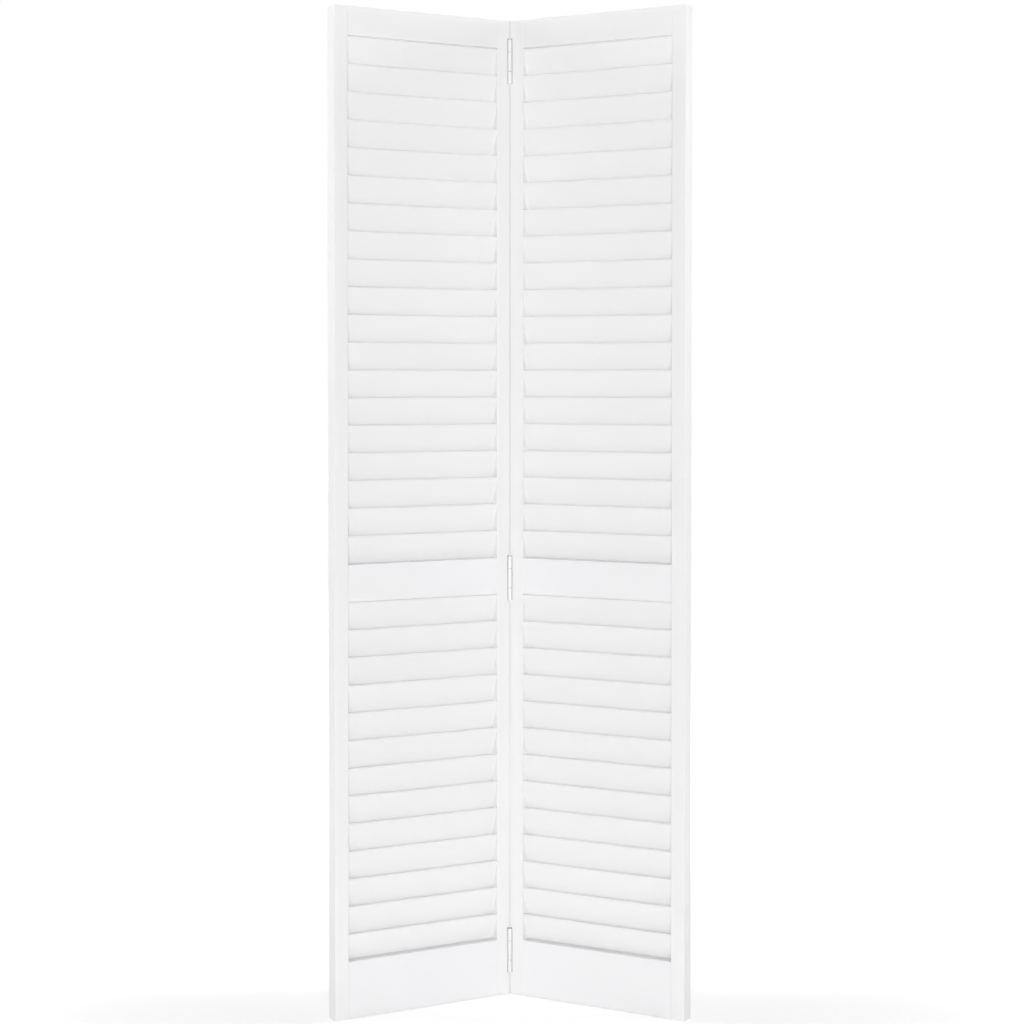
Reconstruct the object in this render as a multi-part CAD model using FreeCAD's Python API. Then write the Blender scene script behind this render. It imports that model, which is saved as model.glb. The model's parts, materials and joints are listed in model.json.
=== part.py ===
import FreeCAD, Part
import math
import os

from FreeCAD import Vector

# A painted wooden folding door, half folded. Two louvred leaves are joined by three butt hinges, whose
# knuckles stand on the side where the leaves fold together. Sizes are in millimetres and degrees.
# Each leaf is laid out flat first: u runs from the hinge pin outwards, y from the knuckle side to the
# back, z from the bottom of the door up. Then the leaf is turned about the pin.

# The door and its leaves
DOOR_HEIGHT = 1997.0
LEAF_WIDTH = 400.0
LEAF_THICKNESS = 28.6
LEAF_GAP = 0.2
FOLD_ANGLE = 30.8
STILE_WIDTH = 30.0
EDGE_RADIUS = 1.0
MEETING_EDGE_RADIUS = 0.3

# Rails, from the top of the door down
TOP_RAIL_HEIGHT = 57.0
MID_RAIL_TOP = 900.0
MID_RAIL_HEIGHT = 73.0
BOTTOM_RAIL_HEIGHT = 114.0

# Slats, with both long edges fully rounded, and the mortises that house their ends
SLAT_CHORD = 64.0
SLAT_THICKNESS = 6.5
SLAT_TILT = 20.0
SLAT_PITCH = 54.7
SLAT_RAIL_GAP = 0.5
UPPER_LOWEST_SLAT_HEIGHT = 56.6
LOWER_LOWEST_SLAT_HEIGHT = 53.6
MORTISE_DEPTH = 9.0
MORTISE_CLEARANCE = 0.3
SLAT_END_CLEARANCE = 0.5

# Butt hinges: plates let into the meeting stiles, three knuckles on one pin
HINGE_LENGTH = 89.0
HINGE_PLATE_WIDTH = 22.0
HINGE_PLATE_THICKNESS = 2.2
HINGE_PLATE_CORNER = 3.0
HINGE_RECESS_CLEARANCE = 0.3
BARREL_RADIUS = 4.6
BARREL_CLEARANCE = 1.3
END_KNUCKLE_LENGTH = 24.3
KNUCKLE_GAP = 1.0
PIN_RADIUS = 2.4
PIN_CLEARANCE = 0.08
PIN_HEAD_RADIUS = 3.8
PIN_HEAD_HEIGHT = 2.4
PIN_HEAD_ROUNDING = 1.4
TOP_HINGE_DROP = 83.0
MIDDLE_HINGE_HEIGHT = 858.0
BOTTOM_HINGE_HEIGHT = 90.0

# Countersunk screw holes in the hinge plates
SCREW_RADIUS = 2.2
SCREW_HEAD_RADIUS = 3.9
COUNTERSINK_DEPTH = 1.7
SCREW_END_DISTANCE = 13.0
SCREW_BACK_DISTANCE = 5.0
SCREW_STAGGER = 4.0

# Drilled holes for the jamb pivots and the track guide
PIVOT_HOLE_RADIUS = 4.76
PIVOT_HOLE_DEPTH = 35.0
PIVOT_HOLE_INSET = 15.0

LEFT = -1
RIGHT = 1
LEAF_INNER_EDGE = LEAF_GAP / 2
LEAF_OUTER_EDGE = LEAF_INNER_EDGE + LEAF_WIDTH
OPENING_START = LEAF_INNER_EDGE + STILE_WIDTH
OPENING_END = LEAF_OUTER_EDGE - STILE_WIDTH
UPPER_OPENING = (MID_RAIL_TOP, DOOR_HEIGHT - TOP_RAIL_HEIGHT, UPPER_LOWEST_SLAT_HEIGHT)
LOWER_OPENING = (BOTTOM_RAIL_HEIGHT, MID_RAIL_TOP - MID_RAIL_HEIGHT, LOWER_LOWEST_SLAT_HEIGHT)
SLAT_DOWN = Vector(0, math.sin(math.radians(SLAT_TILT)), -math.cos(math.radians(SLAT_TILT)))
HINGE_CENTRES = {
    "top": DOOR_HEIGHT - TOP_HINGE_DROP,
    "middle": MIDDLE_HINGE_HEIGHT,
    "bottom": BOTTOM_HINGE_HEIGHT,
}
Z_AXIS = Vector(0, 0, 1)


def rounded_section(corners, radii):
    """Face inside right-angled corners, each rounded by its own radius; a radius of 0 stays square."""
    edges = []
    starts = []
    ends = []
    for i, corner in enumerate(corners):
        before = (corners[i - 1] - corner).normalize()
        after = (corners[(i + 1) % len(corners)] - corner).normalize()
        starts.append(corner + before * radii[i])
        ends.append(corner + after * radii[i])
        if radii[i] > 0:
            to_middle = (before + after) * (radii[i] * (1 - math.sqrt(0.5)))
            edges.append(Part.Arc(starts[i], corner + to_middle, ends[i]).toShape())
    for i, end in enumerate(ends):
        edges.append(Part.LineSegment(end, starts[(i + 1) % len(starts)]).toShape())
    return Part.Face(Part.Wire(Part.__sortEdges__(edges)))


def leaf_box_section(side, u_start, u_end, radii):
    """Upright member's section over the leaf's thickness; radii go front inner, front outer, back outer,
    back inner."""
    corners = [
        Vector(side * u_start, 0, 0),
        Vector(side * u_end, 0, 0),
        Vector(side * u_end, LEAF_THICKNESS, 0),
        Vector(side * u_start, LEAF_THICKNESS, 0),
    ]
    return rounded_section(corners, radii)


def slat_tops(opening):
    """Heights of the slats' top edges, evenly spaced down an opening so that the lowest slat, ripped to
    its own height, ends at the rail below, and that height."""
    low, high, lowest_height = opening
    room = high - low - 2 * SLAT_RAIL_GAP
    count = max(2, round(room / SLAT_PITCH))
    pitch = (room - lowest_height) / (count - 1)
    return [high - SLAT_RAIL_GAP - i * pitch for i in range(count)], lowest_height


def slat_section(u, top, height, growth):
    """Round-edged slat section, tilted, with its top edge to the front and centred in the leaf."""
    radius = SLAT_THICKNESS / 2
    lean = (SLAT_CHORD - SLAT_THICKNESS) * SLAT_DOWN.y
    upper = Vector(u, (LEAF_THICKNESS - lean) / 2, top - radius)
    lower = upper + SLAT_DOWN * ((height - SLAT_THICKNESS) / -SLAT_DOWN.z)
    reach = radius + growth
    across = Vector(0, -SLAT_DOWN.z, SLAT_DOWN.y) * reach
    along = SLAT_DOWN * reach
    edges = [
        Part.LineSegment(upper + across, lower + across).toShape(),
        Part.Arc(lower + across, lower + along, lower - across).toShape(),
        Part.LineSegment(lower - across, upper - across).toShape(),
        Part.Arc(upper - across, upper - along, upper + across).toShape(),
    ]
    return Part.Face(Part.Wire(edges))


def slat_bars(side, opening, u_start, u_end, growth):
    """One bar per slat of an opening; the lowest slat is ripped narrower, to stand on the rail."""
    tops, lowest_height = slat_tops(opening)
    full_height = (SLAT_CHORD - SLAT_THICKNESS) * -SLAT_DOWN.z + SLAT_THICKNESS
    bars = []
    for top in tops:
        height = lowest_height if top == tops[-1] else full_height
        section = slat_section(side * u_start, top, min(height, full_height), growth)
        bars.append(section.extrude(Vector(side * (u_end - u_start), 0, 0)))
    return bars


def slats(side, opening):
    """The slats of one opening, with their ends in the stiles' mortises."""
    housed = MORTISE_DEPTH - SLAT_END_CLEARANCE
    return Part.makeCompound(slat_bars(side, opening, OPENING_START - housed, OPENING_END + housed, 0))


def slat_mortises(side, u_start, u_end):
    """Slanted mortises for every slat end along a stile."""
    cutters = slat_bars(side, UPPER_OPENING, u_start, u_end, MORTISE_CLEARANCE)
    return cutters + slat_bars(side, LOWER_OPENING, u_start, u_end, MORTISE_CLEARANCE)


def rail(side, low, height):
    """Rail between the stiles, with its four long edges eased."""
    high = low + height
    u = side * OPENING_START
    corners = [
        Vector(u, 0, low),
        Vector(u, LEAF_THICKNESS, low),
        Vector(u, LEAF_THICKNESS, high),
        Vector(u, 0, high),
    ]
    section = rounded_section(corners, [EDGE_RADIUS] * len(corners))
    return section.extrude(Vector(side * (OPENING_END - OPENING_START), 0, 0))


def pivot_hole(side, at_top):
    """Blind hole in the outer stile's end for a pivot or guide pin."""
    base = DOOR_HEIGHT - PIVOT_HOLE_DEPTH if at_top else 0
    centre = Vector(side * (LEAF_OUTER_EDGE - PIVOT_HOLE_INSET), LEAF_THICKNESS / 2, base)
    return Part.makeCylinder(PIVOT_HOLE_RADIUS, PIVOT_HOLE_DEPTH, centre, Z_AXIS)


def outer_stile(side):
    """Stile at the leaf's free edge. The left leaf is hung on jamb pivots at its top and bottom; the
    right one runs in a track by a guide at its top."""
    section = leaf_box_section(side, OPENING_END, LEAF_OUTER_EDGE, [EDGE_RADIUS] * 4)
    cutters = slat_mortises(side, OPENING_END, OPENING_END + MORTISE_DEPTH)
    cutters.append(pivot_hole(side, True))
    if side == LEFT:
        cutters.append(pivot_hole(side, False))
    return section.extrude(Z_AXIS * DOOR_HEIGHT).cut(cutters)


def inner_stile(side):
    """Meeting stile, mortised for the slats and recessed for the hinges."""
    radii = [MEETING_EDGE_RADIUS, EDGE_RADIUS, EDGE_RADIUS, EDGE_RADIUS]
    section = leaf_box_section(side, LEAF_INNER_EDGE, OPENING_START, radii)
    cutters = slat_mortises(side, OPENING_START, OPENING_START - MORTISE_DEPTH)
    for centre in HINGE_CENTRES.values():
        cutters.append(hinge_plate_blank(side, centre, HINGE_RECESS_CLEARANCE))
        cutters.append(barrel(centre, BARREL_RADIUS + BARREL_CLEARANCE, KNUCKLE_GAP))
        cutters.append(pin_head_relief(centre))
    return section.extrude(Z_AXIS * DOOR_HEIGHT).cut(cutters)


def hinge_plate_blank(side, centre, growth):
    """Flat plate against the stile's edge, flush with it; growth widens it to make its recess."""
    u = side * LEAF_INNER_EDGE
    half = HINGE_LENGTH / 2 + growth
    back = HINGE_PLATE_WIDTH + growth
    corners = [
        Vector(u, 0, centre - half),
        Vector(u, back, centre - half),
        Vector(u, back, centre + half),
        Vector(u, 0, centre + half),
    ]
    corner = HINGE_PLATE_CORNER + growth
    section = rounded_section(corners, [0, corner, corner, 0])
    return section.extrude(Vector(side * HINGE_PLATE_THICKNESS, 0, 0))


def barrel(centre, radius, growth):
    """Cylinder about the pin over the hinge's length."""
    length = HINGE_LENGTH + 2 * growth
    return Part.makeCylinder(radius, length, Vector(0, 0, centre - length / 2), Z_AXIS)


def pin_head_relief(centre):
    """Cylinder about the pin over its head, as wide as the barrel's relief."""
    base = Vector(0, 0, centre + HINGE_LENGTH / 2)
    height = PIN_HEAD_HEIGHT + KNUCKLE_GAP
    return Part.makeCylinder(BARREL_RADIUS + BARREL_CLEARANCE, height, base, Z_AXIS)


def knuckle_spans(side):
    """Heights, from the hinge's centre, of the knuckles on one plate: the ends left, the middle right."""
    end = HINGE_LENGTH / 2
    inner = end - END_KNUCKLE_LENGTH
    if side == LEFT:
        return [(-end, -inner), (inner, end)]
    return [(KNUCKLE_GAP - inner, inner - KNUCKLE_GAP)]


def knuckle(centre, span, radius, growth):
    """Solid cylinder about the pin over one knuckle's height."""
    base = Vector(0, 0, centre + span[0] - growth)
    return Part.makeCylinder(radius, span[1] - span[0] + 2 * growth, base, Z_AXIS)


def screw_hole(side, y, z):
    """Countersunk hole through a plate, with its wide end on the exposed face."""
    into = Vector(side, 0, 0)
    mouth = Vector(side * LEAF_INNER_EDGE, y, z)
    cone = Part.makeCone(SCREW_HEAD_RADIUS, SCREW_RADIUS, COUNTERSINK_DEPTH, mouth, into)
    return cone.fuse(Part.makeCylinder(SCREW_RADIUS, HINGE_PLATE_THICKNESS, mouth, into))


def hinge_plate(side, centre):
    """Plate with its rolled knuckles, cleared for the other plate's knuckles and bored for the pin."""
    own = [knuckle(centre, span, BARREL_RADIUS, 0) for span in knuckle_spans(side)]
    other = [
        knuckle(centre, span, BARREL_RADIUS + BARREL_CLEARANCE, KNUCKLE_GAP)
        for span in knuckle_spans(-side)
    ]
    plate = hinge_plate_blank(side, centre, 0).cut(other).fuse(own)
    cutters = [barrel(centre, PIN_RADIUS + PIN_CLEARANCE, KNUCKLE_GAP)]
    screw_row = HINGE_PLATE_WIDTH - SCREW_BACK_DISTANCE
    screw_reach = HINGE_LENGTH / 2 - SCREW_END_DISTANCE
    cutters.append(screw_hole(side, screw_row, centre - screw_reach))
    cutters.append(screw_hole(side, screw_row - SCREW_STAGGER, centre))
    cutters.append(screw_hole(side, screw_row, centre + screw_reach))
    return plate.cut(cutters).removeSplitter()


def hinge_pin(centre):
    """Pin with a round-edged head that rests on the top knuckle."""
    bottom = Vector(0, 0, centre - HINGE_LENGTH / 2)
    top = Vector(0, 0, centre + HINGE_LENGTH / 2)
    head = Part.makeCylinder(PIN_HEAD_RADIUS, PIN_HEAD_HEIGHT, top, Z_AXIS)
    rim = [edge for edge in head.Edges if edge.BoundBox.ZMin > top.z + PIN_HEAD_HEIGHT / 2]
    head = head.makeFillet(PIN_HEAD_ROUNDING, rim)
    return Part.makeCylinder(PIN_RADIUS, HINGE_LENGTH, bottom, Z_AXIS).fuse(head)


def folded(shape, side):
    """Leaf piece turned about the pin, so that its outer edge comes forward."""
    turned = shape.copy()
    turned.rotate(Vector(0, 0, 0), Z_AXIS, -side * FOLD_ANGLE)
    return turned


def door_pieces():
    """Every piece by name, about the pin's axis."""
    pieces = {}
    for name, side in (("left", LEFT), ("right", RIGHT)):
        leaf = {
            "outer_stile": outer_stile(side),
            "inner_stile": inner_stile(side),
            "top_rail": rail(side, DOOR_HEIGHT - TOP_RAIL_HEIGHT, TOP_RAIL_HEIGHT),
            "mid_rail": rail(side, MID_RAIL_TOP - MID_RAIL_HEIGHT, MID_RAIL_HEIGHT),
            "bottom_rail": rail(side, 0, BOTTOM_RAIL_HEIGHT),
            "upper_slats": slats(side, UPPER_OPENING),
            "lower_slats": slats(side, LOWER_OPENING),
        }
        for piece, shape in leaf.items():
            pieces[name + "_" + piece] = folded(shape, side)
        for hinge, centre in HINGE_CENTRES.items():
            pieces[hinge + "_hinge_" + name + "_plate"] = folded(hinge_plate(side, centre), side)
    for hinge, centre in HINGE_CENTRES.items():
        pieces[hinge + "_hinge_pin"] = hinge_pin(centre)
    return pieces


def set_on_origin(pieces):
    """Move every piece so that the origin is under the middle of the door's box, at its bottom."""
    box = Part.makeCompound(list(pieces.values())).optimalBoundingBox(False)
    shift = Vector(-box.Center.x, -box.Center.y, -box.ZMin)
    for shape in pieces.values():
        shape.translate(shift)
    return shift


os.makedirs("parts", exist_ok=True)
door = door_pieces()
pin_axis = set_on_origin(door)
for node, shape in door.items():
    shape.exportStep("parts/" + node + ".step")
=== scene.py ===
import json

import bpy
import numpy as np
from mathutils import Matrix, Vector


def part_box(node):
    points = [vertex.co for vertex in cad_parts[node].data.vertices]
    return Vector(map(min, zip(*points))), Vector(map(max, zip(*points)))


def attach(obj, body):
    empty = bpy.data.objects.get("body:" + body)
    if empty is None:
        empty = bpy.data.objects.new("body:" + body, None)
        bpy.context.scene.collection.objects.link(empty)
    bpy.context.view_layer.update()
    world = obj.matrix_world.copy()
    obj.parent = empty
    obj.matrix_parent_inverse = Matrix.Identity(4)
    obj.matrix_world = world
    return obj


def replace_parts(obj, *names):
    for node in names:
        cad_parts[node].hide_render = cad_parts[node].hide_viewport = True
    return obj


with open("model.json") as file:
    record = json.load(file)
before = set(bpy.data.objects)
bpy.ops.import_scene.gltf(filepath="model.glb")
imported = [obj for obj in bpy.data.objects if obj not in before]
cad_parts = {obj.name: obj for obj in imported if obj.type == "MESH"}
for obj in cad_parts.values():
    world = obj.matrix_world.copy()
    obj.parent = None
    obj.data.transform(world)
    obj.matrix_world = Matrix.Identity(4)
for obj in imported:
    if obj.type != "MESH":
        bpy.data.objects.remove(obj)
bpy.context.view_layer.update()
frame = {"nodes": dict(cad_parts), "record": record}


# Stiles. Four uprights of planed softwood, two to a leaf, with slanted mortises for the slat ends and
# eased long edges. Primed and sprayed with white satin paint, through which the grain just shows.

LEAVES = ("left", "right")
PAINT_COLOR = (0.872, 0.872, 0.880, 1.0)
PAINT_THIN_COLOR = (0.846, 0.846, 0.846, 1.0)
PAINT_ROUGHNESS = 0.36
PAINT_ROUGHNESS_SPREAD = 0.10
PAINT_IOR = 1.46
STREAK_SCALE = 95.0
STREAK_STRETCH = 0.035
STREAK_DEPTH = 0.00015
STREAK_STEP = 17.0
STREAK_SHARE = 0.3
SPRAY_SCALE = 620.0
SPRAY_DEPTH = 0.00002
CLOUD_SCALE = 2.6
CLOUD_STEP = 5.0
CLOUD_SHARE = 0.5
BOARD_SHARE = 0.3
# Painted shade: the colour and width of a dark line painted along the fold where the two leaves meet.
FOLD_SHADE_COLOR = (0.57, 0.57, 0.57, 1.0)
FOLD_SHADE_WIDTH = 0.0022
ALONG_UPRIGHT = (1.0, 1.0, STREAK_STRETCH)
LEVEL = np.array([1.0, 1.0, 0.0])

mount_at = {mount["name"]: np.array(mount["pos_m"]) for mount in frame["record"]["mounts"]}
leaf_foot = {"left": mount_at["left_foot"], "right": mount_at["right_foot"]}
leaf_pivot = {"left": mount_at["top_pivot_hole"], "right": mount_at["top_guide_hole"]}
pin_box = np.array(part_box("top_hinge_pin"))
fold_line = pin_box.mean(axis=0) * LEVEL


def leaf_direction(leaf):
    """Unit vector along a leaf, from the foot at its middle out to the hole in its outer stile."""
    along = (leaf_pivot[leaf] - leaf_foot[leaf]) * LEVEL
    return along / np.linalg.norm(along)


def leaf_turn(leaf):
    """Angle about the upright axis from the X axis to the leaf's length, the short way round."""
    along = leaf_direction(leaf)
    return np.arctan(along[1] / along[0])


class Shade:
    """A socket of a material's nodes. Arithmetic on it adds Math nodes; node() adds any other node."""

    def __init__(self, tree, socket=None):
        self.tree = tree
        self.socket = socket

    def node(self, kind, settings=None, inputs=None, output=0):
        """Adds a node, sets its settings, then its sockets to values or links, and gives one output."""
        node = self.tree.nodes.new("ShaderNode" + kind)
        for name, value in (settings or {}).items():
            setattr(node, name, value)
        for name, value in (inputs or {}).items():
            if isinstance(value, Shade):
                self.tree.links.new(value.socket, node.inputs[name])
            else:
                node.inputs[name].default_value = value
        return Shade(self.tree, node.outputs[output] if node.outputs else None)

    def maths(self, operation, first, second):
        """Adds a Math node on two values or sockets."""
        return self.node("Math", {"operation": operation}, {0: first, 1: second})

    def __add__(self, other):
        return self.maths("ADD", self, other)

    def __radd__(self, other):
        return self.maths("ADD", other, self)

    def __sub__(self, other):
        return self.maths("SUBTRACT", self, other)

    def __rsub__(self, other):
        return self.maths("SUBTRACT", other, self)

    def __mul__(self, other):
        return self.maths("MULTIPLY", self, other)

    def __rmul__(self, other):
        return self.maths("MULTIPLY", other, self)


def new_material(name):
    """Empty node material and a Shade on its tree."""
    material = bpy.data.materials.new(name)
    material.use_nodes = True
    material.node_tree.nodes.clear()
    return material, Shade(material.node_tree)


def blend(shade, share, first, second):
    """Colour that goes from the first at share 0 to the second at share 1. The Mix node keeps its
    colours in sockets 6 and 7 and gives them out at socket 2."""
    return shade.node("Mix", {"data_type": "RGBA"}, {0: share, 6: first, 7: second}, output=2)


def painted_wood(name, turn, stretch, full_color):
    """White satin paint over softwood. Streaks of the grain are noise drawn out along the wood's length,
    spray texture is fine even noise, and both lift the surface a little; broad cloudy noise and the
    board's own number thin the paint's colour. A narrow painted shade darkens the paint along the fold."""
    material, shade = new_material(name)
    place = shade.node("TexCoord", output="Object")
    leaf_place = shade.node(
        "Mapping", {"vector_type": "TEXTURE"},
        {"Vector": place, "Location": fold_line.tolist(), "Rotation": (0, 0, turn)},
    )
    board = shade.node("Attribute", {"attribute_name": "board"}, output="Fac")
    drawn = shade.node("Mapping", None, {"Vector": leaf_place, "Scale": stretch})
    streak = shade.node(
        "TexNoise", {"noise_dimensions": "4D"},
        {"Vector": drawn, "W": STREAK_STEP * board, "Scale": STREAK_SCALE, "Detail": 5.0, "Roughness": 0.6},
    )
    spray = shade.node("TexNoise", None, {"Vector": place, "Scale": SPRAY_SCALE, "Detail": 2.0})
    cloud = shade.node(
        "TexNoise", {"noise_dimensions": "4D"},
        {"Vector": drawn, "W": CLOUD_STEP * board, "Scale": CLOUD_SCALE, "Detail": 3.0},
    )
    tone = CLOUD_SHARE * cloud + STREAK_SHARE * streak + BOARD_SHARE * board
    paint_tone = blend(shade, tone, full_color, PAINT_THIN_COLOR)
    along = shade.node("SeparateXYZ", None, {0: leaf_place}, output="X")
    beside = shade.node("Math", {"operation": "ABSOLUTE"}, {0: along})
    # Painted shade: the paint is darkened within a narrow width of the fold line, standing for the shade in
    # the crease.
    fold_painted_shade = shade.node(
        "MapRange", {"interpolation_type": "SMOOTHSTEP"},
        {"Value": beside, "From Min": 0.0, "From Max": FOLD_SHADE_WIDTH, "To Min": 1.0, "To Max": 0.0},
    )
    color = blend(shade, fold_painted_shade, paint_tone, FOLD_SHADE_COLOR)
    rough = PAINT_ROUGHNESS + PAINT_ROUGHNESS_SPREAD * (spray + streak - 1.0)
    grain = shade.node("Bump", None, {"Strength": 1.0, "Distance": STREAK_DEPTH, "Height": streak})
    skin = shade.node(
        "Bump", None, {"Strength": 1.0, "Distance": SPRAY_DEPTH, "Height": spray, "Normal": grain}
    )
    surface = shade.node(
        "BsdfPrincipled", None, {"Base Color": color, "Roughness": rough, "Normal": skin, "IOR": PAINT_IOR}
    )
    shade.node("OutputMaterial", None, {"Surface": surface})
    return material


def finish_node(name, material):
    """Gives a solid of the door one material."""
    node = frame["nodes"][name]
    node.data.materials.clear()
    node.data.materials.append(material)


for leaf in LEAVES:
    stile_paint = painted_wood(leaf + "_stile_paint", leaf_turn(leaf), ALONG_UPRIGHT, PAINT_COLOR)
    for stile in ("outer_stile", "inner_stile"):
        finish_node(leaf + "_" + stile, stile_paint)


# Rails. A top, a mid and a bottom rail of the same wood, butted between the stiles and painted with them,
# with the grain lying along the leaf. The lower two have painted light: their colour is a shade whiter,
# standing for the brighter light on them.

ALONG_LEAF = (STREAK_STRETCH, 1.0, 1.0)
# Painted light: the mid and bottom rail colours are whiter than the paint, standing for the brighter light
# on them.
RAIL_COLOR_WITH_PAINTED_LIGHT = {
    "top_rail": PAINT_COLOR,
    "mid_rail": (0.905, 0.905, 0.925, 1.0),
    "bottom_rail": (0.880, 0.880, 0.898, 1.0),
}

for leaf in LEAVES:
    for rail, color in RAIL_COLOR_WITH_PAINTED_LIGHT.items():
        rail_paint = painted_wood(leaf + "_" + rail + "_paint", leaf_turn(leaf), ALONG_LEAF, color)
        finish_node(leaf + "_" + rail, rail_paint)


# Slats. Thin boards of the same wood with both long edges rounded over, painted, and tilted so that the
# upper edge comes to the front. Their ends sit in the stiles' mortises, and the lowest slat of each opening
# is ripped narrower.

SLAT_COUNT = {"upper": 19, "lower": 13}
SLAT_CHORD = 0.064
SLAT_THICKNESS = 0.0065
SLAT_TILT = np.radians(20.0)
SLAT_LENGTH = 0.357
LOWEST_SLAT = {"upper": 0.0566, "lower": 0.0536}
SLAT_BOW = 0.00018
SLAT_TWIST = np.radians(0.12)
SLAT_SHARP_ANGLE = np.radians(50)
SLAT_SEED_STEP = 10
EDGE_STEPS = 14
LENGTH_STEPS = 9
UPWARD = np.array([0.0, 0.0, 1.0])


def leaf_through(leaf):
    """Unit vector through a leaf's thickness, from its front to its back."""
    direction = leaf_direction(leaf)
    through = np.array([-direction[1], direction[0], 0.0])
    return through * np.sign(through[1])


def slat_mesh(name, leaf, top, low, count, lowest, seed):
    """All slats of one opening. The section is a slot: a half circle about the upper centre and one about
    the lower centre, joined by straights. It is carried along the leaf, with a small bow across the middle
    of the length and a small twist that both differ from slat to slat."""
    chance = np.random.default_rng(seed)
    pitch = (top - low - lowest) / (count - 1)
    radius = SLAT_THICKNESS / 2
    full = SLAT_CHORD - SLAT_THICKNESS
    short = (lowest - SLAT_THICKNESS) / np.cos(SLAT_TILT)
    span = np.where(np.arange(count) < count - 1, full, short)
    half_turn = np.linspace(0, np.pi, EDGE_STEPS)
    angle = np.concatenate([half_turn, half_turn + np.pi])
    at_upper = np.repeat([1.0, 0.0], EDGE_STEPS)
    across = radius * np.cos(angle)
    up_slat = radius * np.sin(angle) + span[:, None] * (at_upper - 1)
    along = np.linspace(-0.5, 0.5, LENGTH_STEPS)
    bow = chance.uniform(-SLAT_BOW, SLAT_BOW, count)[:, None] * (1 - (2 * along) ** 2)
    twist = chance.uniform(-SLAT_TWIST, SLAT_TWIST, count)[:, None] * 2 * along
    lean = SLAT_TILT + twist[:, :, None]
    middle = up_slat[:, None, :] + span[:, None, None] / 2
    side = across[None, None, :] + bow[:, :, None]
    depth = side * np.cos(lean) - middle * np.sin(lean)
    height = side * np.sin(lean) + middle * np.cos(lean)
    first_depth = -full * np.sin(SLAT_TILT) / 2
    centre_depth = first_depth + span / 2 * np.sin(SLAT_TILT)
    centre_height = top - pitch * np.arange(count) - radius - span / 2 * np.cos(SLAT_TILT)
    depth = depth + centre_depth[:, None, None]
    height = height + centre_height[:, None, None]
    direction = leaf_direction(leaf)
    through = leaf_through(leaf)
    points = leaf_foot[leaf] * LEVEL + (along * SLAT_LENGTH)[None, :, None, None] * direction
    points = points + depth[..., None] * through + height[..., None] * UPWARD
    ring = 2 * EDGE_STEPS
    index = np.arange(count * LENGTH_STEPS * ring).reshape(count, LENGTH_STEPS, ring)
    beside = np.roll(index, -1, axis=2)
    quads = np.stack([index[:, :-1], beside[:, :-1], beside[:, 1:], index[:, 1:]], axis=-1)
    first_caps = index[:, 0, ::-1]
    last_caps = index[:, -1]
    faces = quads.reshape(-1, 4).tolist() + first_caps.tolist() + last_caps.tolist()
    if np.dot(np.cross(direction, through), UPWARD) < 0:
        faces = [face[::-1] for face in faces]
    mesh = bpy.data.meshes.new(name)
    mesh.from_pydata(points.reshape(-1, 3).tolist(), [], faces)
    board = mesh.attributes.new("board", "FLOAT", "POINT")
    board.data.foreach_set("value", np.repeat(chance.uniform(0, 1, count), LENGTH_STEPS * ring))
    mesh.shade_smooth()
    mesh.set_sharp_from_angle(angle=SLAT_SHARP_ANGLE)
    return mesh


def add_piece(name, mesh, material):
    """Object at the origin with one material, riding on the door."""
    piece = bpy.data.objects.new(name, mesh)
    bpy.context.scene.collection.objects.link(piece)
    mesh.materials.append(material)
    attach(piece, "root")
    return piece


for number, leaf in enumerate(LEAVES):
    slat_paint = painted_wood(leaf + "_slat_paint", leaf_turn(leaf), ALONG_LEAF, PAINT_COLOR)
    for opening, count in SLAT_COUNT.items():
        node = leaf + "_" + opening + "_slats"
        name = node + "_painted"
        low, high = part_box(node)
        seed = SLAT_SEED_STEP * number + count
        mesh = slat_mesh(name, leaf, high[2], low[2], count, LOWEST_SLAT[opening], seed)
        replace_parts(add_piece(name, mesh, slat_paint), node)


# Hinges. Three steel butt hinges let into the meeting stiles. Their plates and rolled knuckles are
# finished in gloss white enamel and turn on a headed pin of zinc-plated steel.

HINGES = ("top_hinge", "middle_hinge", "bottom_hinge")
ENAMEL_COLOR = (0.86, 0.86, 0.865, 1.0)
ENAMEL_THIN_COLOR = (0.80, 0.80, 0.80, 1.0)
ENAMEL_THINNING = 0.6
ENAMEL_ROUGHNESS = 0.16
ENAMEL_ROUGHNESS_SPREAD = 0.12
ENAMEL_IOR = 1.5
ENAMEL_CLOUD_SCALE = 120.0
PEEL_SCALE = 900.0
PEEL_DEPTH = 0.00001
ZINC_DARK = (0.36, 0.37, 0.38, 1.0)
ZINC_LIGHT = (0.52, 0.53, 0.54, 1.0)
ZINC_ROUGHNESS = 0.34
ZINC_ROUGHNESS_SPREAD = 0.16
SPANGLE_SCALE = 700.0


def enamel(name):
    """Gloss white enamel on steel, a little thinner in cloudy patches, with a faint orange-peel skin."""
    material, shade = new_material(name)
    place = shade.node("TexCoord", output="Object")
    peel = shade.node("TexNoise", None, {"Vector": place, "Scale": PEEL_SCALE, "Detail": 2.0})
    cloud = shade.node("TexNoise", None, {"Vector": place, "Scale": ENAMEL_CLOUD_SCALE, "Detail": 4.0})
    color = blend(shade, ENAMEL_THINNING * cloud, ENAMEL_COLOR, ENAMEL_THIN_COLOR)
    rough = ENAMEL_ROUGHNESS + ENAMEL_ROUGHNESS_SPREAD * cloud
    skin = shade.node("Bump", None, {"Strength": 1.0, "Distance": PEEL_DEPTH, "Height": peel})
    surface = shade.node(
        "BsdfPrincipled", None, {"Base Color": color, "Roughness": rough, "Normal": skin, "IOR": ENAMEL_IOR}
    )
    shade.node("OutputMaterial", None, {"Surface": surface})
    return material


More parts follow.
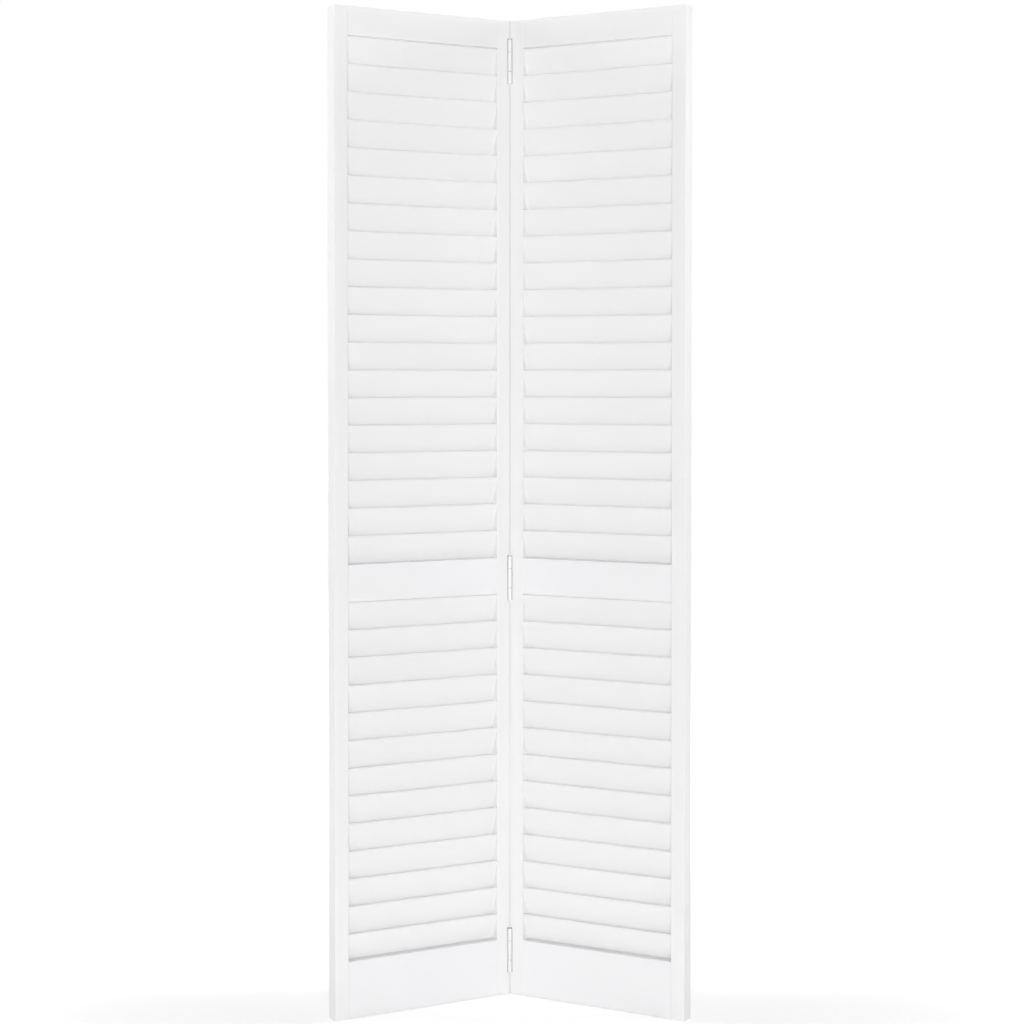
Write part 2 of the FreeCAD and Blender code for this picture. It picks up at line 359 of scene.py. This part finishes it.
def zinc_steel(name):
    """Dull zinc plate on steel: small cloudy spangles shift its grey and its sheen."""
    material, shade = new_material(name)
    place = shade.node("TexCoord", output="Object")
    spangle = shade.node("TexNoise", None, {"Vector": place, "Scale": SPANGLE_SCALE, "Detail": 4.0})
    color = blend(shade, spangle, ZINC_DARK, ZINC_LIGHT)
    rough = ZINC_ROUGHNESS + ZINC_ROUGHNESS_SPREAD * spangle
    surface = shade.node("BsdfPrincipled", None, {"Base Color": color, "Metallic": 1.0, "Roughness": rough})
    shade.node("OutputMaterial", None, {"Surface": surface})
    return material


hinge_enamel = enamel("hinge_enamel")
pin_zinc = zinc_steel("pin_zinc")
for hinge in HINGES:
    finish_node(hinge + "_left_plate", hinge_enamel)
    finish_node(hinge + "_right_plate", hinge_enamel)
    finish_node(hinge + "_pin", pin_zinc)


# Screws. Eighteen flat-head wood screws, three to a hinge plate, driven flush into the plates' countersinks.
# Steel with cross recesses, enamelled like the hinges.

SCREW_HEAD_RADIUS = 0.0037
SCREW_HEAD_DEPTH = 0.0020
SCREW_SHANK_RADIUS = 0.0019
SCREW_SHANK_DEPTH = 0.0023
SCREW_SINK = 0.0002
SCREW_SPOTS = ((0.017, -0.0315), (0.013, 0.0), (0.017, 0.0315))
SCREW_SHARP_ANGLE = np.radians(35)
SCREW_SEED = 40
RECESS_ARM = 0.0024
RECESS_HALF_WIDTH = 0.0006
RECESS_DEPTH = 0.0011
RECESS_SLOPE = 0.0003
INNERMOST_RING = 0.00005
TOP_RINGS = 18
ROUND_STEPS = 72


def screw_mesh(name, leaf, hinge_middles, seed):
    """All screws of one leaf. A screw is a profile turned about its axis: a flat top out to the head's
    rim, a cone in to the shank and a short shank. The top sinks in a cross, whose depth falls to nothing
    within a short slope at the edges of its two arms."""
    chance = np.random.default_rng(seed)
    direction = leaf_direction(leaf)
    through = leaf_through(leaf)
    radius = np.concatenate([
        np.linspace(INNERMOST_RING, SCREW_HEAD_RADIUS, TOP_RINGS), [SCREW_SHANK_RADIUS, SCREW_SHANK_RADIUS]
    ])
    depth = np.concatenate([np.full(TOP_RINGS, SCREW_SINK), [SCREW_HEAD_DEPTH, SCREW_SHANK_DEPTH]])
    turn = np.arange(ROUND_STEPS) * 2 * np.pi / ROUND_STEPS
    spots = np.array([(across, middle + up) for middle in hinge_middles for across, up in SCREW_SPOTS])
    driven = chance.uniform(0, np.pi, len(spots))[:, None, None]
    x = radius[None, :, None] * np.cos(turn + driven)
    y = radius[None, :, None] * np.sin(turn + driven)
    within_x = np.clip((RECESS_ARM - abs(x)) / RECESS_SLOPE, 0, 1)
    within_y = np.clip((RECESS_ARM - abs(y)) / RECESS_SLOPE, 0, 1)
    narrow_x = np.clip((RECESS_HALF_WIDTH - abs(x)) / RECESS_SLOPE, 0, 1)
    narrow_y = np.clip((RECESS_HALF_WIDTH - abs(y)) / RECESS_SLOPE, 0, 1)
    cross = np.maximum(within_x * narrow_y, within_y * narrow_x)
    on_top = (np.arange(len(radius)) < TOP_RINGS)[None, :, None]
    sunk = depth[None, :, None] + RECESS_DEPTH * cross * on_top
    side_x = radius[None, :, None] * np.cos(turn) + 0 * driven
    side_y = radius[None, :, None] * np.sin(turn) + 0 * driven
    points = fold_line + sunk[..., None] * direction
    points = points + side_x[..., None] * through + side_y[..., None] * UPWARD
    points = points + spots[:, None, None, :1] * through + spots[:, None, None, 1:] * UPWARD
    index = np.arange(points[..., 0].size).reshape(len(spots), len(radius), ROUND_STEPS)
    beside = np.roll(index, -1, axis=2)
    quads = np.stack([index[:, :-1], index[:, 1:], beside[:, 1:], beside[:, :-1]], axis=-1)
    faces = quads.reshape(-1, 4).tolist() + index[:, 0].tolist() + index[:, -1, ::-1].tolist()
    if np.dot(np.cross(through, UPWARD), direction) > 0:
        faces = [face[::-1] for face in faces]
    mesh = bpy.data.meshes.new(name)
    mesh.from_pydata(points.reshape(-1, 3).tolist(), [], faces)
    mesh.shade_smooth()
    mesh.set_sharp_from_angle(angle=SCREW_SHARP_ANGLE)
    return mesh


hinge_middles = []
for hinge in HINGES:
    low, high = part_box(hinge + "_left_plate")
    hinge_middles.append((low[2] + high[2]) / 2)
for number, leaf in enumerate(LEAVES):
    name = leaf + "_hinge_screws"
    mesh = screw_mesh(name, leaf, hinge_middles, SCREW_SEED + number)
    add_piece(name, mesh, hinge_enamel)


# Floor. A plain white floor that the door stands on. It takes the door's shadow, and where no shadow falls
# it shows white, by a glow that lights nothing else.

FLOOR_REACH = 9.0
FLOOR_DROP = 0.0003
FLOOR_COLOR = (0.90, 0.90, 0.90, 1.0)
FLOOR_GLOW_NEAR = 0.31
FLOOR_GLOW_FAR = 0.95
FLOOR_GLOW_REACH = (0.7, 2.2)
BLACK = (0.0, 0.0, 0.0, 1.0)
WHITE = (1.0, 1.0, 1.0, 1.0)


def seen_ray(shade):
    """1 where the camera, or a mirror or glass, looks at the surface, and 0 for light that bounces."""
    camera = shade.node("LightPath", output="Is Camera Ray")
    glossy = shade.node("LightPath", output="Is Glossy Ray")
    through = shade.node("LightPath", output="Is Transmission Ray")
    return shade.maths("MAXIMUM", camera, shade.maths("MAXIMUM", glossy, through))


def floor_material():
    """White floor that reflects light evenly and also glows, only to rays that see it. The glow grows
    from near the door, where its shadow lies, to the far floor."""
    material, shade = new_material("floor_white")
    plain = shade.node("BsdfDiffuse", None, {"Color": FLOOR_COLOR})
    place = shade.node("TexCoord", output="Object")
    away = shade.node("VectorMath", {"operation": "LENGTH"}, {0: place}, output="Value")
    glow = shade.node(
        "MapRange", {"interpolation_type": "SMOOTHSTEP"},
        {"Value": away, "From Min": FLOOR_GLOW_REACH[0], "From Max": FLOOR_GLOW_REACH[1],
         "To Min": FLOOR_GLOW_NEAR, "To Max": FLOOR_GLOW_FAR},
    )
    glowing = shade.node("Emission", None, {"Color": blend(shade, seen_ray(shade) * glow, BLACK, WHITE)})
    surface = shade.node("AddShader", None, {0: plain, 1: glowing})
    shade.node("OutputMaterial", None, {"Surface": surface})
    return material


corner = np.array([[-1, -1, 0], [1, -1, 0], [1, 1, 0], [-1, 1, 0]]) * FLOOR_REACH - (0, 0, FLOOR_DROP)
floor_mesh = bpy.data.meshes.new("floor")
floor_mesh.from_pydata(corner.tolist(), [], [(0, 1, 2, 3)])
floor_mesh.materials.append(floor_material())
floor = bpy.data.objects.new("floor", floor_mesh)
bpy.context.scene.collection.objects.link(floor)


# Light and camera. Most light comes from one wide lamp far in front. Weaker ones overhead, behind, on the
# floor before and behind the door and at both its sides clear the shadows. The camera has a long lens and
# stands square to the fold at chest height.

ROOM_LIGHT = 0.114
LAMPS = (
    {"name": "front", "place": (0.0, -8.0, 1.0), "aim": (0.0, 0.0, 1.0),
     "size": (3.0, 4.0), "power": 555.0},
    {"name": "top", "place": (0.0, 0.0, 5.0), "aim": (0.0, 0.0, 0.0),
     "size": (1.2, 1.2), "power": 48.0},
    {"name": "back", "place": (0.0, 4.0, 1.2), "aim": (0.0, 0.0, 1.0),
     "size": (5.0, 3.5), "power": 50.0},
    {"name": "floor_before", "place": (0.0, -0.9, 0.003), "aim": (0.0, -0.9, 1.0),
     "size": (0.5, 2.0), "power": 0.24},
    {"name": "floor_behind", "place": (0.0, 1.1, 0.003), "aim": (0.0, 1.1, 1.0),
     "size": (1.6, 1.6), "power": 10.2},
    {"name": "left_side", "place": (-3.0, 0.15, 2.1), "aim": (0.0, 0.15, 1.5),
     "size": (0.8, 1.4), "power": 39.4},
    {"name": "right_side", "place": (3.0, 0.15, 2.1), "aim": (0.0, 0.15, 1.5),
     "size": (0.8, 1.4), "power": 39.4},
)
LENS_PIXELS = 2250.5
PICTURE_PIXELS = 1024
SENSOR_WIDTH = 36.0
PICTURE_CENTRE = (511.55, 436.2)
CAMERA_BACK = 4.613
CAMERA_SIDE = 0.0034
CAMERA_HEIGHT = 1.2553
CAMERA_DIP = np.radians(1.316)

world = bpy.data.worlds.new("studio")
bpy.context.scene.world = world
world.use_nodes = True
world.node_tree.nodes.clear()
room = Shade(world.node_tree)
room_strength = ROOM_LIGHT + (1 - ROOM_LIGHT) * seen_ray(room)
background = room.node("Background", None, {"Color": WHITE, "Strength": room_strength})
room.node("OutputWorld", None, {"Surface": background})

for lamp in LAMPS:
    lamp_data = bpy.data.lights.new(lamp["name"], "AREA")
    lamp_data.shape = "RECTANGLE"
    lamp_data.size, lamp_data.size_y = lamp["size"]
    lamp_data.energy = lamp["power"]
    lamp_object = bpy.data.objects.new(lamp["name"], lamp_data)
    away = np.subtract(lamp["place"], lamp["aim"])
    lean = np.arctan2(np.hypot(away[0], away[1]), away[2])
    lamp_object.location = lamp["place"]
    lamp_object.rotation_euler = (lean, 0, np.arctan2(away[0], -away[1]))
    lamp_object.visible_camera = False
    bpy.context.scene.collection.objects.link(lamp_object)

camera_data = bpy.data.cameras.new("camera")
camera_data.sensor_width = SENSOR_WIDTH
camera_data.lens = LENS_PIXELS / PICTURE_PIXELS * SENSOR_WIDTH
camera_data.shift_x = 0.5 - PICTURE_CENTRE[0] / PICTURE_PIXELS
camera_data.shift_y = PICTURE_CENTRE[1] / PICTURE_PIXELS - 0.5
camera = bpy.data.objects.new("camera", camera_data)
camera.location = (CAMERA_SIDE, fold_line[1] - CAMERA_BACK, CAMERA_HEIGHT)
camera.rotation_euler = (np.pi / 2 - CAMERA_DIP, 0, 0)
bpy.context.scene.collection.objects.link(camera)
bpy.context.scene.camera = camera
bpy.context.scene.view_settings.view_transform = "Standard"
